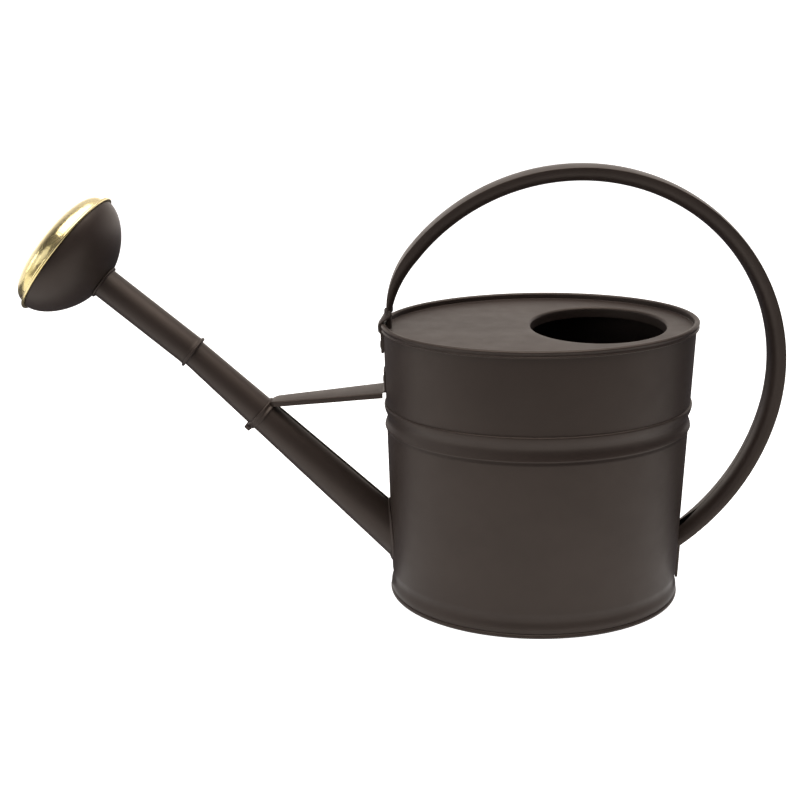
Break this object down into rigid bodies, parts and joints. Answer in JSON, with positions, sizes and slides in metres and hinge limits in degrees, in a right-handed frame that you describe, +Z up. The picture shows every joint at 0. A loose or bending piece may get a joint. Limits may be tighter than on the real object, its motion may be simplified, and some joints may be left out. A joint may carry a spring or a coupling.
{
  "type": "watering can",
  "caption": "Oval sheet-metal watering can with a hoop handle, a braced tapered spout and a push-on rose with a perforated brass face.",
  "frame": {"origin": "centre of the oval foot, on the plane the can stands on", "axes": "+Z up, the spout points to -X, the handle is at +X"},
  "size_m": [0.6316, 0.1866, 0.3737],
  "materials": {
    "coat": "matte powder coat",
    "brass": "satin"
  },
  "bodies": {
    "can": {"body_shell": "coat", "bottom_plate": "coat", "lid": "coat", "spout": "coat", "spout_spigot": "coat", "strut": "coat", "strut_rivets": "coat", "spout_clamp": "coat", "clamp_rivet": "coat", "handle": "coat", "handle_clip": "coat", "clip_rivets": "coat", "foot_rivets": "coat"},
    "ring": {"mouth_ring": "coat"},
    "rose": {"rose_sleeve": "coat", "rose_neck_ring": "coat", "rose_bowl": "coat", "rose_face": "brass"}
  },
  "joints": [
    {"name": "rose_pull", "type": "slide", "parent": "can", "child": "ring", "axis": [-0.7466, 0, 0.6652], "range_m": [0, 0.046]},
    {"name": "rose_turn", "type": "hinge", "parent": "ring", "child": "rose", "pos_m": [-0.29248, 0, 0.2269], "axis": [-0.7466, 0, 0.6652], "continuous": true}
  ]
}
